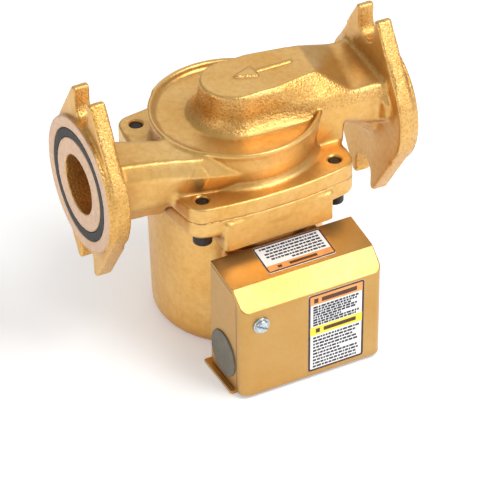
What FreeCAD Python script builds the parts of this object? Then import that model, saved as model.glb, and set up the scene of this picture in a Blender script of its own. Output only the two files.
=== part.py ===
import FreeCAD, Part
import math
import os

# Wet-rotor circulator pump, bronze, flanged.  Millimetres, +Z up.
# Laid out from the point where the pipe axis (X) crosses the motor axis (Z), then lifted when
# saved, so that the origin of every part is the centre of the motor's flat bottom.
# +X suction flange, -X discharge flange, -Y terminal box; "front" is -Y, "rear" is +Y.

Vector = FreeCAD.Vector
os.makedirs("parts", exist_ok=True)

# ---- pipe flanges ----
FACE_HALF = 80.96        # half of the flange-to-flange length
FLANGE_T = 10.9          # plate plus raised face
RAISE_T = 2.66           # height of the raised face
RAISE_R = 33.4
PORT_R = 14.5            # water port
GROOVE_RO = 27.45        # gasket groove
GROOVE_RI = 22.85
GROOVE_D = 4.35
GASKET_RO = 27.2
GASKET_RI = 23.1
GASKET_T = 4.3
GASKET_INSET = 0.05      # gasket face behind the flange face
BOLT_HALF = 40.1         # half of the bolt spacing
SLOT_R = 6.6             # half width of the open bolt slot
FLANGE_R = 34.5          # outline circle
HORN_Z = 48.2            # horn tip height
HORN_Y = 9.8             # horn half width at its tip

# ---- volute casing ----
RIM_R = 41.2             # top rim, outside
RIM_Z = 18.5
DISH_Z = 15.2            # low ring of the dished top
BOSS_R = 16.6            # suction eye boss
BOSS_Z = 33.6
FOOT_Y, FOOT_Z = 26.3, 14.7          # foot of the suction duct's side fillet
SHOULDER_Y, SHOULDER_Z = 18.0, 23.0  # top of that fillet
NECK_END_X = 71.2        # inner end of the suction passage, inside the flange
CHAMBER_R = 32.5         # volute chamber
CHAMBER_Z = 10.5
EYE_R = 11.0             # suction eye in the chamber roof
ROOF_R, ROOF_Z0, ROOF_Z1 = 12.8, 15.1, 28.0  # passage above the eye
CASING_FLANGE_Z = -2.0   # casing bolt flange, top
PARTING_Z = -10.0        # parting plane between casing and motor
MOTOR_FLANGE_Z = -20.0   # motor bolt flange, underside
EAR = 34.7               # cap screw position, X and Y
EAR_R = 8.5              # corner radius of the bolt flange
SIDE_MID = 46.4          # bolt flange half width at mid side
EARS = [(sx * EAR, sy * EAR) for sx in (1, -1) for sy in (1, -1)]

# ---- motor ----
SHELL_TOP_R = 42.5       # shell, outside
SHELL_FOOT_R = 41.0
SHELL_BOTTOM = -94.2
LIFT = -SHELL_BOTTOM     # pipe axis above the motor's flat bottom
SHELL_IR = 38.4
SHELL_FLOOR = -90.4
SPOT_Z = MOTOR_FLANGE_Z + 0.4  # spot face under each cap screw head
SEAT_Z = -13.5           # seat for the rotor can flange
SEAT_R = 37.0
CORE_TOP, CORE_BOTTOM = -31.0, -73.0   # stator and rotor cores
STATOR_IR = 20.4
N_SLOTS = 12
SHAFT_R = 4.0
SHAFT_END_R = 3.0        # shaft end that carries the impeller
BEARING_CLEARANCE = 0.03  # radial
BEARING_R = 8.0
BEARING_TOP = -12.2      # top of the upper bearing
CAN_IR, CAN_OR = 19.6, 20.1
CAN_SHEET = 0.6          # thickness of the can's flange and floor
CAN_FLOOR = -84.6
CAN_FLANGE_TOP = SEAT_Z + CAN_SHEET
ROTOR_R = 18.6
SLEEVE_R = 18.95

# ---- impeller ----
IMPELLER_R = 26.5
VANE_START_R = 8.6
VANE_SPAN = IMPELLER_R - 0.6 - VANE_START_R
VANE_SWEEP = math.radians(78.0)
N_VANES = 6
COVER_Z = 3.4            # underside of the impeller cover
COVER_IR = 9.0

# ---- terminal box ----
BOX_X0, BOX_X1 = -34.3, 40.2
BACK_Y = -41.6           # rear plane
FRONT_Y = -73.2
BOX_TOP = -32.5          # rear top edge
FOLD1_Y, FOLD1_Z = -63.1, -35.5
FOLD2_Y, FOLD2_Z = FRONT_Y, -43.8
BOX_BOTTOM = -92.3
SHEET = 1.6
COVER_SHEET = 1.7
COVER_R = 4.5            # front vertical corner radius
INSIDE_Y = BACK_Y - SHEET  # front face of the box back
SEAM_Y = -67.0           # where the cover return meets the base wall
PLUG_Y, PLUG_Z = -54.5, -78.0
KNOCKOUT_R = 11.1
SCREW_X, SCREW_Z = -24.4, -52.1        # cover screw
GROUND_X, GROUND_Z = -26.0, -68.0      # ground screw
LEAD_Z = -80.5           # lead hole
MOUNTS = [(x, z) for x in (-18.0, 18.0) for z in (-40.0, -84.0)]  # box mounting screws
LABEL_T = 0.15

# ---- run capacitor: X ends, centre of its section ----
CAP_X0, CAP_X1 = -5.0, 33.0
CAP_Y, CAP_Z = -60.5, -75.0


# ---------------------------------------------------------------------------
# helpers
# ---------------------------------------------------------------------------
def cylinder(radius, z0, z1, x=0.0, y=0.0):
    return Part.makeCylinder(radius, z1 - z0, Vector(x, y, z0), Vector(0, 0, 1))


def cylinder_x(radius, x0, x1, y=0.0, z=0.0):
    return Part.makeCylinder(radius, x1 - x0, Vector(x0, y, z), Vector(1, 0, 0))


def cylinder_y(radius, y0, y1, x=0.0, z=0.0):
    return Part.makeCylinder(radius, y1 - y0, Vector(x, y0, z), Vector(0, 1, 0))


def box(x0, x1, y0, y1, z0, z1):
    return Part.makeBox(x1 - x0, y1 - y0, z1 - z0, Vector(x0, y0, z0))


def ring(outer, inner, z0, z1):
    return cylinder(outer, z0, z1).cut(cylinder(inner, z0 - 1, z1 + 1))


def polygon(points):
    return Part.makePolygon([Vector(*p) for p in points] + [Vector(*points[0])])


def prism(points, direction):
    return Part.Face(polygon(points)).extrude(Vector(*direction))


def loft(sections):
    return Part.makeLoft([polygon(s) for s in sections], True, True)


def revolve(outline):
    """closed (r, z) outline turned about Z; 3-item entries are arc mid points"""
    edges = []
    start, middle = outline[0], None
    for point in outline[1:] + outline[:1]:
        if len(point) == 3:
            middle = point
            continue
        first, last = Vector(start[0], 0, start[1]), Vector(point[0], 0, point[1])
        if middle:
            edges.append(Part.Arc(first, Vector(middle[0], 0, middle[1]), last).toShape())
        else:
            edges.append(Part.makeLine(first, last))
        start, middle = point, None
    return Part.Face(Part.Wire(edges)).revolve(Vector(0, 0, 0), Vector(0, 0, 1), 360)


def treat_edges(shape, method, size, test):
    edges = [e for e in shape.Edges if test(e)]
    if not edges:
        return shape
    # guards against an edge treatment the kernel refuses: the shape then stays sharp
    try:
        treated = getattr(shape, method)(size, edges)
        if treated.isValid() and treated.Volume > 0:
            return treated
    except Exception:
        pass
    return shape


def fillet(shape, radius, test):
    return treat_edges(shape, "makeFillet", radius, test)


def chamfer(shape, size, test):
    return treat_edges(shape, "makeChamfer", size, test)


def every_edge(edge):
    return True


def lies_at(axis, *levels):
    """edge test: lies wholly in a plane across the axis, at one of the levels"""
    def test(edge):
        bounds = edge.BoundBox
        low, high = getattr(bounds, axis + "Min"), getattr(bounds, axis + "Max")
        return any(abs(low - v) < 1e-4 and abs(high - v) < 1e-4 for v in levels)
    return test


def upright_at_y(y, min_height):
    """edge test: taller than min_height and lying at y"""
    def test(edge):
        bounds = edge.BoundBox
        return (abs(bounds.YMin - y) < 1e-3 and abs(bounds.YMax - y) < 1e-3
                and bounds.ZLength > min_height)
    return test


def on_side(shape, sign):
    """the shape itself at +X, or its mirror image at -X"""
    return shape if sign > 0 else shape.mirror(Vector(0, 0, 0), Vector(1, 0, 0))


def merged(shape):
    result = shape.removeSplitter()
    if result.ShapeType == "Compound" and len(result.Solids) == 1:
        result = result.Solids[0]
    return result


def save(name, shape):
    lifted = shape.copy()
    lifted.translate(Vector(0, 0, LIFT))
    lifted.exportStep("parts/%s.step" % name)


def oval(x, y_mid, z_mid, half_y, half_z, power):
    """super-ellipse section in a plane of constant X, as a ring of 16 points"""
    points = []
    for i in range(16):
        angle = 2 * math.pi * (i + 0.5) / 16
        c, s = math.cos(angle), math.sin(angle)
        reach = (abs(c) ** power + abs(s) ** power) ** (-1.0 / power)
        points.append((x, y_mid + half_y * reach * c, z_mid + half_z * reach * s))
    return points


def wire_tube(points, radius):
    """round wire swept along a smooth path"""
    curve = Part.BSplineCurve()
    curve.interpolate([Vector(*p) for p in points])
    path = Part.Wire([curve.toShape()])
    tangent = curve.tangent(curve.FirstParameter)[0]
    profile = Part.Wire([Part.Circle(Vector(*points[0]), tangent, radius).toShape()])
    return path.makePipeShell([profile], True, True)


# ---------------------------------------------------------------------------
# pipe and bolt flanges
# ---------------------------------------------------------------------------
def pipe_flange(sign):
    """two-horned plate with open bolt slots and a raised face"""
    x0 = FACE_HALF - FLANGE_T
    x1 = FACE_HALF - RAISE_T
    # where the horn's side leaves the outline circle as a tangent
    reach = math.hypot(HORN_Y, HORN_Z)
    angle = math.atan2(HORN_Z, HORN_Y) - math.acos(FLANGE_R / reach)
    tan_y, tan_z = FLANGE_R * math.cos(angle), FLANGE_R * math.sin(angle)
    horn = [(tan_y, tan_z), (HORN_Y, HORN_Z), (-HORN_Y, HORN_Z), (-tan_y, tan_z)]
    edges = []
    for side in (1, -1):
        corners = [Vector(x0, side * y, side * z) for y, z in horn]
        edges.append(Part.Arc(Vector(x0, side * tan_y, -side * tan_z),
                              Vector(x0, side * FLANGE_R, 0), corners[0]).toShape())
        edges += [Part.makeLine(a, b) for a, b in zip(corners, corners[1:])]
    plate = Part.Face(Part.Wire(edges)).extrude(Vector(x1 - x0, 0, 0))
    for side, z0, z1 in ((1, BOLT_HALF, 60), (-1, -60, -BOLT_HALF)):
        slot = cylinder_x(SLOT_R, x0 - 1, x1 + 5, 0, side * BOLT_HALF)
        slot = slot.fuse(box(x0 - 1, x1 + 5, -SLOT_R, SLOT_R, z0, z1))
        plate = plate.cut(slot)
    plate = plate.removeSplitter()

    def horn_tip(edge):
        bounds = edge.BoundBox
        return (abs(bounds.XLength - (x1 - x0)) < 1e-3 and bounds.ZLength < 0.01
                and abs(abs(bounds.Center.z) - HORN_Z) < 0.01)
    plate = fillet(plate, 1.5, horn_tip)
    plate = fillet(plate, 0.9, lies_at("X", x1, x0))
    face = chamfer(cylinder_x(RAISE_R, x0 + 2, FACE_HALF), 0.5, lies_at("X", FACE_HALF))
    return on_side(plate.fuse(face), sign)


def gasket_groove(sign):
    floor = FACE_HALF - GROOVE_D
    groove = cylinder_x(GROOVE_RO, floor, FACE_HALF + 2).cut(
        cylinder_x(GROOVE_RI, floor - 1, FACE_HALF + 3))
    return on_side(groove, sign)


def flange_gasket(sign):
    outer = FACE_HALF - GASKET_INSET
    inner = outer - GASKET_T
    gasket = cylinder_x(GASKET_RO, inner, outer).cut(
        cylinder_x(GASKET_RI, FACE_HALF - 10, FACE_HALF + 1))
    return on_side(fillet(gasket, 0.35, lies_at("X", outer, inner)), sign)


def bolt_flange(z0, z1):
    """four-eared plate; the bowed sides run tangent into the ears"""
    bulge = SIDE_MID - EAR
    side_r = (EAR ** 2 + bulge ** 2 - EAR_R ** 2) / (2 * (bulge - EAR_R))
    sine = EAR / (side_r - EAR_R)
    tan_x, tan_y = EAR + EAR_R * sine, EAR + EAR_R * math.sqrt(1 - sine * sine)
    corner = EAR + EAR_R * math.cos(math.pi / 4)
    edges = []
    for k in range(4):
        c, s = math.cos(k * math.pi / 2), math.sin(k * math.pi / 2)

        def arc(*points):
            return Part.Arc(*[Vector(x * c - y * s, x * s + y * c, z0)
                              for x, y in points]).toShape()
        edges.append(arc((-tan_x, -tan_y), (0, -SIDE_MID), (tan_x, -tan_y)))
        edges.append(arc((tan_x, -tan_y), (corner, -corner), (tan_y, -tan_x)))
    return Part.Face(Part.Wire(edges)).extrude(Vector(0, 0, z1 - z0))


# ---------------------------------------------------------------------------
# volute casing
# ---------------------------------------------------------------------------
# suction duct: x, half width at the bottom, shoulder y, shoulder z, roof edge y, side trim
DUCT = [
    (-0.8, 20.0, 18.0, 23.0, 15.6, 0.62),
    (5.0, 20.0, 18.0, 23.0, 15.55, 0.45),
    (14.0, 20.0, 18.1, 23.0, 15.5, 0.0),
    (36.0, 20.2, 21.2, 22.6, 12.0, 0.0),
    (50.0, 20.0, 20.8, 21.0, 11.5, 0.0),
    (63.0, 19.8, 20.6, 19.6, 11.0, 0.0),
    (67.6, 20.2, 21.2, 20.2, 11.0, 0.0),
    (70.0, 21.4, 22.8, 21.6, 11.5, 0.0),
    (NECK_END_X, 22.8, 25.0, 23.6, 12.0, 0.0)]

# limit of the duct seen from the side, (x, z): at the front and at the rear
DUCT_SIDES = [
    (-30, [(-2, -8), (-2, 45), (34.9, 45), (34.9, BOSS_Z + 0.05),
           (42.5, 26.2), (50.0, 20.9), (72.0, 20.5), (72.0, -8)]),
    (30, [(-2, -8), (-2, 45), (41.6, 45), (41.6, BOSS_Z + 0.05),
          (51.5, 31.0), (62.0, 27.1), (72.0, 25.4), (72.0, -8)])]

# suction neck: x, half width, top, bottom, half width of top flat and of bottom flat,
# side top, side bottom
SUCTION_NECK = [
    (24.0, 20.6, 14.0, -17.5, 19.0, 12.0, 12.0, -8.0),
    (35.0, 20.6, 18.4, -17.8, 18.0, 12.0, 14.0, -8.0),
    (48.5, 20.2, 19.2, -18.2, 17.0, 11.0, 13.0, -8.0),
    (56.0, 19.8, 19.0, -18.6, 16.0, 10.0, 12.0, -8.0),
    (65.0, 19.8, 19.2, -18.8, 16.0, 9.5, 12.0, -8.0),
    (68.2, 20.6, 20.6, -19.4, 16.8, 9.8, 13.2, -8.4),
    (70.0, 22.0, 23.4, -20.6, 18.0, 10.4, 15.2, -9.0),
    (NECK_END_X, 24.2, 26.6, -22.0, 19.4, 11.0, 17.6, -9.6)]

# suction passage, climbing towards the boss: x, centre z, half width, half height
PASSAGE = [
    (NECK_END_X, 0.0, 14.3, 14.3), (66.5, 2.6, 13.7, 13.1), (61.0, 5.9, 13.1, 11.7),
    (54.0, 9.6, 12.8, 10.2), (46.0, 14.4, 12.7, 8.4), (36.5, 21.5, 12.6, 6.2)]
PASSAGE_POWERS = (2.0, 2.1, 2.3, 2.6, 3.2, 4.0)
# metal kept around the passage: its stations and the wall thickness at each
HULL = [(73.0, 0.0, 14.3, 14.3), (71.0, 0.2, 14.3, 14.3)] + PASSAGE[1:5]
HULL_WALLS = (4.2, 3.2, 2.7, 2.7, 2.7, 2.7)

# discharge neck: x, then the eight corners (y, z) of the section
DISCHARGE_NECK = [
    (-71.0, [(-20.4, 18.9), (2.0, 20.0), (17.5, 6.5), (17.5, -8.0),
             (11.0, -17.5), (-13.0, -18.8), (-21.6, -7.0), (-24.3, 11.4)]),
    (-57.0, [(-23.0, 18.3), (-3.0, 18.8), (12.0, 5.0), (13.0, -8.0),
             (8.0, -16.5), (-15.0, -18.0), (-23.6, -6.8), (-26.7, 10.4)]),
    (-43.0, [(-26.3, 17.5), (-7.6, 17.6), (8.0, 2.5), (8.0, -8.0),
             (4.0, -15.0), (-18.0, -17.0), (-26.2, -6.4), (-29.9, 9.2)]),
    (-36.0, [(-28.2, 16.9), (-9.0, 15.6), (8.0, 2.0), (8.0, -8.0),
             (4.0, -15.0), (-19.0, -16.5), (-28.0, -6.3), (-31.7, 8.6)]),
    (-26.0, [(-30.9, 15.4), (-9.0, 14.2), (8.0, 1.5), (8.0, -8.0),
             (4.0, -15.0), (-21.0, -16.0), (-30.5, -6.2), (-34.2, 7.4)]),
    (-8.0, [(-36.2, 13.6), (-9.0, 13.6), (8.0, 1.0), (8.0, -8.0),
            (4.0, -15.0), (-24.0, -15.0), (-35.0, -6.0), (-37.7, 6.0)])]

# discharge passage: x, centre y, centre z, half width, half height, power
THROAT = [
    (-67.5, 0, 0, PORT_R - 0.3, PORT_R - 0.3, 2.0),
    (-52.0, -5.5, -0.5, 11.0, 10.0, 2.3),
    (-18.0, -17.5, 0.2, 13.0, 8.8, 3.6)]


def casing_drum():
    """drum with a raised lip and a dished top"""
    return revolve([
        (0.0, -8.0), (41.0, -8.0), (41.0, -1.9), (39.5, -0.9, 0), (38.4, 1.4),
        (39.0, 6.0), (40.5, 14.6), (RIM_R, 16.9), (RIM_R - 0.3, RIM_Z - 0.3, 0),
        (RIM_R - 1.3, RIM_Z), (RIM_R - 2.3, RIM_Z - 0.5, 0), (38.2, 16.7),
        (37.2, DISH_Z + 0.45, 0), (35.0, DISH_Z), (0.0, DISH_Z)])


def suction_boss():
    """suction eye boss with a wide foot fillet"""
    return revolve([
        (0.0, 10.0), (25.9, 10.0), (25.9, 14.7), (20.3, 17.3, 0), (17.6, 23.0),
        (BOSS_R + 0.1, BOSS_Z - 1.6), (BOSS_R - 0.5, BOSS_Z - 0.4, 0),
        (BOSS_R - 1.6, BOSS_Z), (0.0, BOSS_Z)])


def duct_foot():
    """six (y, z) points up the foot fillet"""
    arc = Part.Arc(Vector(FOOT_Y, FOOT_Z, 0), Vector(20.7, 17.3, 0),
                   Vector(SHOULDER_Y, SHOULDER_Z, 0)).toShape()
    step = (arc.LastParameter - arc.FirstParameter) / 5.0
    points = [arc.valueAt(arc.FirstParameter + step * i) for i in range(6)]
    return [(p.x, p.y) for p in points]


def duct_section(foot, x, bottom_y, shoulder_y, shoulder_z, roof_y, trim):
    spread = shoulder_y - SHOULDER_Y
    half = [(bottom_y, -6.0), (max(FOOT_Y + spread, shoulder_y + 0.8) - trim, 8.0)]
    # the foot fillet fades as the shoulder spreads
    fade = max(0.0, 1.0 - spread / 4.6)
    for y, z in foot[:-1]:
        drop = (SHOULDER_Z - z) / (SHOULDER_Z - FOOT_Z)
        half.append((shoulder_y + (y - SHOULDER_Y) * fade + 0.25 * drop - trim,
                     z + (shoulder_z - SHOULDER_Z) * (1 - drop)))
    half.append((shoulder_y - trim, shoulder_z))
    # the wall above the shoulder is fuller next to the boss
    share_y, share_z, bow = (0.275, 0.82, 0.9) if x < 20 else (0.55, 0.55, 0.35)
    half += [(shoulder_y + share_y * (roof_y - shoulder_y) - trim,
              shoulder_z + share_z * (BOSS_Z - shoulder_z)),
             (roof_y + bow - trim, BOSS_Z - bow * 0.9),
             (roof_y - trim, BOSS_Z)]
    return [(x, -y, z) for y, z in half] + [(x, y, z) for y, z in half[::-1]]


def suction_duct():
    """the boss wall drawn out along +X, its shoulders spreading to the neck's width"""
    foot = duct_foot()
    duct = loft([duct_section(foot, *station) for station in DUCT])
    # roof line: level, then falling to the neck, sooner at the front than at the rear
    duct = duct.common(loft([[(x, y, z) for x, z in side] for y, side in DUCT_SIDES]))
    # keep the duct's spread foot off the outside of the casing
    keep = cylinder(RIM_R - 2.6, -8, 45)
    keep = keep.fuse(box(-2, NECK_END_X, -22.0, 22.0, -8, 45))
    keep = keep.fuse(box(66.0, NECK_END_X, -26, 26, -8, 45))
    return duct.common(keep)


def suction_neck():
    """eight-sided neck, waisted before the flange"""
    sections = []
    for x, wide, top, bottom, top_y, bottom_y, side_top, side_bottom in SUCTION_NECK:
        sections.append([
            (x, -top_y, top), (x, top_y, top), (x, wide, side_top), (x, wide, side_bottom),
            (x, bottom_y, bottom), (x, -bottom_y, bottom),
            (x, -wide, side_bottom), (x, -wide, side_top)])
    return loft(sections)


def neck_relief():
    """space under the climbing suction passage, less the wall around the passage"""
    sections = []
    for x, level in ((47.6, 6.9), (75.6, -2.8)):
        sections.append([
            (x, -34, level + 10.5), (x, -8, level - 9.0), (x, 8, level - 9.0),
            (x, 34, level + 10.5), (x, 34, -40), (x, -34, -40)])
    hull = loft([oval(x, 0, z, half_y + wall, half_z + wall, 2.0)
                 for (x, z, half_y, half_z), wall in zip(HULL, HULL_WALLS)])
    return loft(sections).cut(hull)


def flow_arrow():
    """raised arrow on the boss, pointing to the discharge side"""
    low = BOSS_Z - 0.3
    arrow = prism([(-0.6, 0.3, low), (10.8, -4.2, low), (10.8, 4.8, low)], (0, 0, 1.5))
    return arrow.fuse(box(10.0, 30.6, -0.45, 1.05, low, BOSS_Z + 1.0))


def water_passages():
    riser = loft([oval(x, 0, z, half_y, half_z, power)
                  for (x, z, half_y, half_z), power in zip(PASSAGE, PASSAGE_POWERS)])
    roof = box(0, 38, -ROOF_R, ROOF_R, ROOF_Z0, ROOF_Z1).fuse(
        cylinder(ROOF_R, ROOF_Z0, ROOF_Z1))
    roof = fillet(roof.removeSplitter(), 3.0, lies_at("Z", ROOF_Z1))
    return [cylinder(CHAMBER_R, PARTING_Z - 1, CHAMBER_Z),
            cylinder(EYE_R, CHAMBER_Z - 1, 16.0),
            cylinder_x(PORT_R, 70.6, FACE_HALF + 2),
            cylinder_x(PORT_R, -FACE_HALF - 2, -67.0),
            riser, roof, loft([oval(*station) for station in THROAT])]


def volute_casing():
    relief = neck_relief()
    neck = suction_neck().cut(relief)
    duct = suction_duct().cut(relief)
    discharge = loft([[(x, y, z) for y, z in corners] for x, corners in DISCHARGE_NECK])
    plate = bolt_flange(PARTING_Z, CASING_FLANGE_Z)
    plate = fillet(plate, 0.9, lies_at("Z", CASING_FLANGE_Z))
    plate = chamfer(plate, 0.35, lies_at("Z", PARTING_Z))
    body = casing_drum().fuse([suction_boss(), duct, neck, discharge])
    # nothing of the necks hangs below the parting plane next to the motor flange
    body = body.cut(box(-47.0, 47.0, -60, 60, -40, PARTING_Z))
    body = body.fuse(plate)
    body = body.fuse([pipe_flange(1), pipe_flange(-1)])
    body = body.fuse(flow_arrow())
    for passage in water_passages():
        body = body.cut(passage)
    body = body.cut(gasket_groove(1)).cut(gasket_groove(-1))
    # cap screw holes, lightly countersunk on top
    for x, y in EARS:
        body = body.cut(cylinder(3.05, PARTING_Z - 1, CASING_FLANGE_Z + 1, x, y))
        body = body.cut(Part.makeCone(3.0, 4.0, 1.0, Vector(x, y, CASING_FLANGE_Z - 0.9),
                                      Vector(0, 0, 1)))
    return merged(body)


def casing_o_ring():
    """seal between casing and rotor can flange, drawn flattened on its seats"""
    return fillet(ring(36.3, 33.6, CAN_FLANGE_TOP, PARTING_Z), 0.9, every_edge)


# ---------------------------------------------------------------------------
# motor housing and cap screws
# ---------------------------------------------------------------------------
def motor_housing():
    plate = bolt_flange(MOTOR_FLANGE_Z, PARTING_Z)
    plate = chamfer(plate, 0.35, lies_at("Z", PARTING_Z))
    plate = chamfer(plate, 2.6, lies_at("Z", MOTOR_FLANGE_Z))
    top = -12.0
    shell = revolve([
        (0, top), (SHELL_TOP_R, top), (SHELL_TOP_R, -24.0), (SHELL_FOOT_R, SHELL_BOTTOM + 7.0),
        (SHELL_FOOT_R - 1.95, SHELL_BOTTOM + 2.05, 0), (SHELL_FOOT_R - 7.0, SHELL_BOTTOM),
        (0, SHELL_BOTTOM)])
    # neck block that carries the top of the terminal box
    block_z = -27.5
    block = box(-28.5, 28.5, -46.2, -30, block_z, top)
    block = fillet(block, 2.0, lambda e: abs(e.BoundBox.ZLength - (top - block_z)) < 0.01
                   and e.BoundBox.YMax < -40)
    housing = plate.fuse([shell, block])
    # pads behind the terminal box
    flat_y = BACK_Y + 0.2
    for x, z in MOUNTS:
        housing = housing.fuse(box(x - 6, x + 6, flat_y, -33, z - 5, z + 5))
    # flat for the box back, below the block
    housing = housing.cut(box(-60, 60, -60, flat_y, -100, block_z))
    # can seat, then the stator space with its narrower mouth
    housing = housing.cut(cylinder(SEAT_R, SEAT_Z, 0))
    mouth = cylinder(34.2, SHELL_FLOOR, SEAT_Z + 1)
    bore = cylinder(SHELL_IR, SHELL_FLOOR, SEAT_Z - 3.0)
    housing = housing.cut(
        cylinder(SHELL_IR, SHELL_FLOOR, SEAT_Z + 1).common(mouth.fuse(bore)))
    # through holes for cap screws, with flat spot faces below
    for x, y in EARS:
        housing = housing.cut(cylinder(3.3, MOTOR_FLANGE_Z - 5, PARTING_Z + 1, x, y))
        housing = housing.cut(cylinder(5.4, MOTOR_FLANGE_Z - 12, SPOT_Z, x, y))
    # lead exit and screw holes
    housing = housing.cut(cylinder_y(5.0, BACK_Y - 3, -30, 0, LEAD_Z))
    for x, z in MOUNTS:
        housing = housing.cut(cylinder_y(2.02, BACK_Y - 1, -36.4, x, z))
    return merged(housing)


def cap_screw(x, y):
    """hexagon socket head under the motor flange, end just below the casing flange top"""
    head_z, end_z, socket_r = SPOT_Z - 6.0, CASING_FLANGE_Z - 1.0, 2.9
    head = fillet(cylinder(4.6, head_z, SPOT_Z, x, y), 0.5, lies_at("Z", head_z))
    hexagon = []
    for k in range(6):
        angle = math.radians(60 * k)
        hexagon.append((x + socket_r * math.cos(angle), y + socket_r * math.sin(angle),
                        MOTOR_FLANGE_Z - 7.0))
    head = head.cut(prism(hexagon, (0, 0, 4.2)))
    shank = cylinder(3.0, MOTOR_FLANGE_Z + 0.3, end_z, x, y)
    shank = chamfer(shank, 0.5, lies_at("Z", end_z))
    return head.fuse(shank).removeSplitter()


# ---------------------------------------------------------------------------
# stator
# ---------------------------------------------------------------------------
def slot_wedge(inner_r, inner_half, outer_r, outer_half, overrun):
    """tapered bar along Z, wider outwards, standing past the core at both ends"""
    z0 = CORE_BOTTOM - overrun
    return prism([(inner_r, -inner_half, z0), (outer_r, -outer_half, z0),
                  (outer_r, outer_half, z0), (inner_r, inner_half, z0)],
                 (0, 0, CORE_TOP - CORE_BOTTOM + 2 * overrun))


def turn_to_slot(shape, k):
    shape.rotate(Vector(0, 0, 0), Vector(0, 0, 1), 360.0 / N_SLOTS * (k + 0.5))
    return shape


def stator_core():
    core = ring(SHELL_IR, STATOR_IR, CORE_BOTTOM, CORE_TOP)
    for k in range(N_SLOTS):
        slot = slot_wedge(24.0, 2.4, 33.5, 4.3, 1)
        mouth = box(19.0, 25.0, -0.9, 0.9, CORE_BOTTOM - 1, CORE_TOP + 1)
        core = core.cut(turn_to_slot(slot.fuse(mouth), k))
    return merged(core)


def end_turn(z0, z1):
    return fillet(ring(35.5, 23.0, z0, z1), 2.6, every_edge)


def stator_windings():
    bars = [turn_to_slot(slot_wedge(24.4, 2.1, 33.1, 3.9, 2), k) for k in range(N_SLOTS)]
    top = end_turn(CORE_TOP + 0.6, CORE_TOP + 9.0)
    bottom = end_turn(CORE_BOTTOM - 9.0, CORE_BOTTOM - 0.6)
    return merged(top.fuse([bottom] + bars))


# ---------------------------------------------------------------------------
# rotor cartridge
# ---------------------------------------------------------------------------
def rotor_can():
    can = ring(36.4, CAN_IR, SEAT_Z, CAN_FLANGE_TOP)
    can = can.fuse(ring(CAN_OR, CAN_IR, CAN_FLOOR, SEAT_Z + 0.3))
    can = can.fuse(cylinder(CAN_OR, CAN_FLOOR - CAN_SHEET, CAN_FLOOR))
    can = can.fuse(ring(BEARING_R + 0.6, BEARING_R, CAN_FLOOR, -76.5))
    return merged(can)


def bearing_plate():
    hub_z = -25.0
    plate = cylinder(33.3, CAN_FLANGE_TOP, -10.4)
    plate = plate.fuse(cylinder(11.0, hub_z, CAN_FLANGE_TOP))
    plate = plate.cut(cylinder(BEARING_R, hub_z - 1, BEARING_TOP))
    plate = plate.cut(cylinder(SHAFT_R + 0.6, -14, -9))
    # three small holes around the hub
    for k in range(3):
        angle = math.radians(120 * k + 30)
        plate = plate.cut(cylinder(1.2, -14, -9, 15.2 * math.cos(angle),
                                   15.2 * math.sin(angle)))
    return merged(plate)


def bearing(z0, z1):
    return ring(BEARING_R, SHAFT_R + BEARING_CLEARANCE, z0, z1)


def drive_flat():
    """block that leaves the flat on the shaft end, and in the impeller bore"""
    return box(2.4, 5.0, -5, 5, -5.6, 3.2)


def rotor_shaft():
    bottom, shoulder, top = -83.8, -7.4, 5.6
    shaft = cylinder(SHAFT_R, bottom, shoulder).fuse(cylinder(SHAFT_END_R, shoulder, top))
    shaft = chamfer(shaft, 0.4, lies_at("Z", bottom, top))
    shaft = shaft.cut(ring(5.0, 2.55, 3.75, 4.55))  # clip groove
    return merged(shaft.cut(drive_flat()))


def rotor_end_rings():
    return Part.makeCompound([ring(ROTOR_R, 9.4, CORE_TOP, CORE_TOP + 3.2),
                              ring(ROTOR_R, 9.4, CORE_BOTTOM - 3.2, CORE_BOTTOM)])


def thrust_washers():
    return Part.makeCompound([ring(7.6, SHAFT_R, z0, z1)
                              for z0, z1 in ((-26.6, -24.8), (-75.8, -74.2))])


# ---------------------------------------------------------------------------
# impeller
# ---------------------------------------------------------------------------
def vane(phase, z0, z1):
    """backward-curved vane, slightly thicker at mid length"""
    def centre(t):
        radius = VANE_START_R + VANE_SPAN * t
        angle = phase - VANE_SWEEP * t ** 0.85
        return radius * math.cos(angle), radius * math.sin(angle)

    left, right = [], []
    steps = 14
    for i in range(steps + 1):
        t = i / steps
        half = 0.55 + 0.25 * math.sin(math.pi * t)
        x, y = centre(t)
        ahead_x, ahead_y = centre(t + 1e-3)
        dx, dy = ahead_x - x, ahead_y - y
        length = math.hypot(dx, dy)
        nx, ny = -dy / length, dx / length
        left.append((x + nx * half, y + ny * half, z0))
        right.append((x - nx * half, y - ny * half, z0))
    return prism(left + right[::-1], (0, 0, z1 - z0))


def impeller():
    """rear shroud, hub and vanes"""
    body = cylinder(IMPELLER_R, -6.0, -4.4).fuse(cylinder(7.0, -7.2, 3.2))
    body = body.fuse([vane(2 * math.pi * k / N_VANES, -4.6, COVER_Z)
                      for k in range(N_VANES)])
    return merged(body.cut(cylinder(SHAFT_END_R, -8, 4).cut(drive_flat())))


def impeller_cover():
    """front shroud with its eye ring"""
    return merged(ring(IMPELLER_R, COVER_IR, COVER_Z, 4.9).fuse(
        ring(10.6, COVER_IR, COVER_Z, 13.6)))


def impeller_clip():
    return merged(ring(5.0, 2.56, 3.8, 4.5).cut(box(0.5, 6.0, -1.1, 1.1, 3, 5)))


# ---------------------------------------------------------------------------
# terminal box
# ---------------------------------------------------------------------------
def roof_z(y, below=0.0):
    """height at y, a given distance below the outside of the cover roof"""
    if y > FOLD1_Y:
        z = BOX_TOP + (FOLD1_Z - BOX_TOP) * (y - BACK_Y) / (FOLD1_Y - BACK_Y)
    else:
        z = FOLD1_Z + (FOLD2_Z - FOLD1_Z) * (y - FOLD1_Y) / (FOLD2_Y - FOLD1_Y)
    return z - below


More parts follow.
